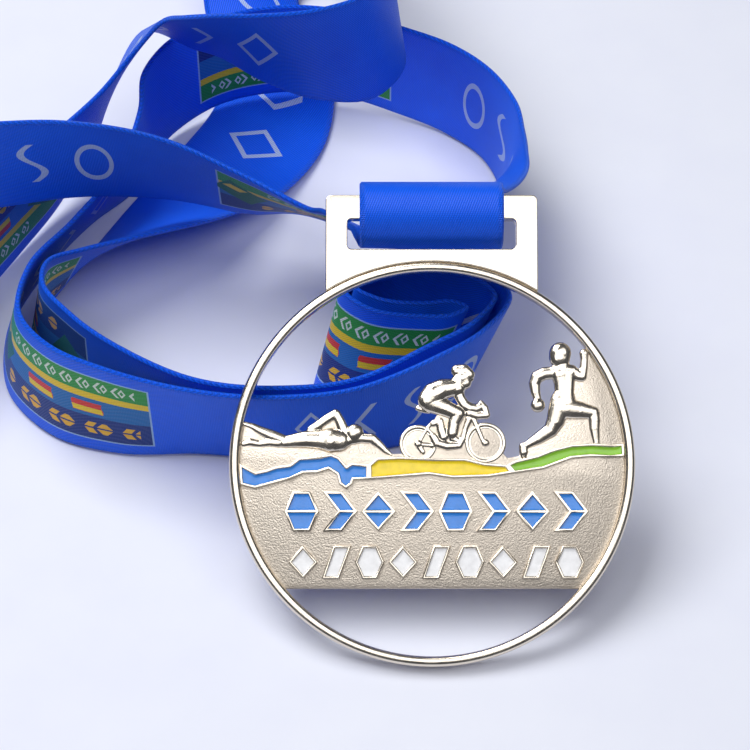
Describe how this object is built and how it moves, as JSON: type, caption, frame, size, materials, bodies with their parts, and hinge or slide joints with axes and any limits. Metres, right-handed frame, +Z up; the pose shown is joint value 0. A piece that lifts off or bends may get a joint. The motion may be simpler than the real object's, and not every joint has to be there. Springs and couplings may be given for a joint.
{
  "type": "finisher medal",
  "caption": "Round nickel-plated sports medal with a pierced athlete scene and coloured enamel, on a looped satin ribbon.",
  "frame": {"origin": "centre of the footprint, on the surface that the medal's lower rim and the ribbon lie on", "axes": "+X to the medal's right, +Y from the medal towards the far end of the ribbon, +Z up; the medal's face leans back by 33 degrees from level"},
  "size_m": [0.1506, 0.1822, 0.0532],
  "materials": {
    "bright_nickel": "polished nickel plate",
    "sandblasted_nickel": "fine sandblasted nickel plate",
    "blue_enamel": "soft enamel",
    "yellow_enamel": "soft enamel",
    "green_enamel": "soft enamel",
    "white_enamel": "soft enamel",
    "ribbon_satin": "printed satin",
    "thread": "polyester thread"
  },
  "bodies": {
    "ribbon_loop": {"ribbon_bar_leg": "ribbon_satin", "ribbon_bar_wrap": "ribbon_satin", "ribbon_flat_span": "ribbon_satin", "ribbon_front_span": "ribbon_satin", "ribbon_inner_return": "ribbon_satin", "ribbon_inner_span": "ribbon_satin", "ribbon_left_bend": "ribbon_satin", "ribbon_left_loop": "ribbon_satin", "ribbon_left_return": "ribbon_satin", "ribbon_left_span": "ribbon_satin", "ribbon_rear_arch": "ribbon_satin", "ribbon_rear_corner": "ribbon_satin", "ribbon_rear_span": "ribbon_satin", "ribbon_rear_turn": "ribbon_satin", "ribbon_right_span": "ribbon_satin", "ribbon_rising_span": "ribbon_satin", "ribbon_roll_inner": "ribbon_satin", "ribbon_roll_outer": "ribbon_satin", "ribbon_seam_lap": "ribbon_satin", "ribbon_slot_leg": "ribbon_satin", "ribbon_twisted_span": "ribbon_satin", "seam_stitching": "thread"},
    "medal": {"cyclist_relief": "bright_nickel", "enamel_borders": "bright_nickel", "hanger_plate": "bright_nickel", "hill_enamel": "green_enamel", "lower_row_borders": "bright_nickel", "lower_row_enamel": "white_enamel", "rim_ring": "bright_nickel", "road_enamel": "yellow_enamel", "runner_relief": "bright_nickel", "scene_panel": "sandblasted_nickel", "swimmer_relief": "bright_nickel", "upper_row_borders": "bright_nickel", "upper_row_enamel": "blue_enamel", "wave_enamel": "blue_enamel"}
  },
  "joints": [
    {"name": "medal_swing", "type": "hinge", "parent": "ribbon_loop", "child": "medal", "pos_m": [0.04033, -0.02375, 0.045], "axis": [-1, 0, 0], "range_deg": [0, 180]}
  ]
}
